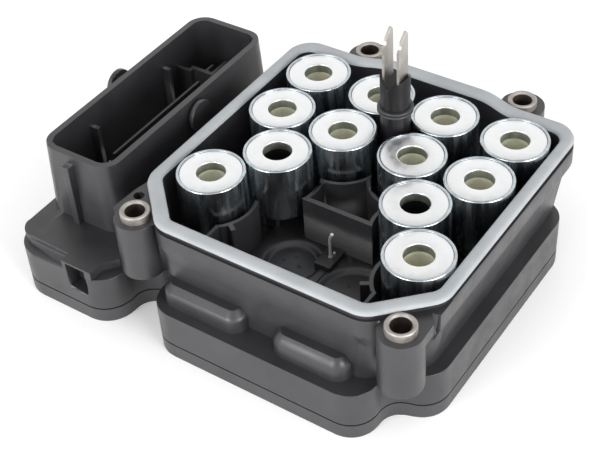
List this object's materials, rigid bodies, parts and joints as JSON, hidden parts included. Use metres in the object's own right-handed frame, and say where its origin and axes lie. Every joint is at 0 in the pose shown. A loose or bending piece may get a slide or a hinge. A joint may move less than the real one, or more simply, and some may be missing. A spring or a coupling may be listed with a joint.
{
  "type": "abs brake control module",
  "caption": "Electronic control module of an anti-lock brake unit: black moulded housing with wiring connector, open bay of solenoid coils, grey gasket and screw bosses.",
  "frame": {"origin": "under the middle of the outline box, on the underside of the cover", "axes": "+X from the wiring connector towards the coil bay, -Y the front wall with the two cushions, +Z out of the coil bay"},
  "size_m": [0.1376, 0.1144, 0.0755],
  "materials": {
    "black_plastic": "fine moulded grain, satin",
    "black_rubber": "matt",
    "grey_silicone": "smooth, soft sheen",
    "sleeve_steel": "turned, satin",
    "zinc_steel": "bright zinc plate",
    "tinned_brass": "tinned, satin",
    "board_laminate": "solder mask, satin",
    "chip_resin": "matt",
    "capacitor_case": "satin"
  },
  "bodies": {
    "root": {"housing": "black_plastic", "bottom_cover": "black_plastic", "cover_seal": "black_rubber", "rim_gasket": "grey_silicone", "mounting_sleeves": "sleeve_steel", "valve_coils": "zinc_steel", "coil_pins": "tinned_brass", "coil_pads": "black_rubber", "circuit_board": "board_laminate", "processor": "chip_resin", "valve_drivers": "chip_resin", "pump_transistors": "chip_resin", "supply_capacitors": "capacitor_case", "signal_pins": "tinned_brass", "power_blades": "tinned_brass", "pump_contact_tower": "black_plastic", "pump_contact_seal": "black_rubber", "pump_blade_left": "tinned_brass", "pump_blade_right": "tinned_brass", "contact_block": "black_plastic", "contact_pin": "tinned_brass"}
  },
  "joints": []
}
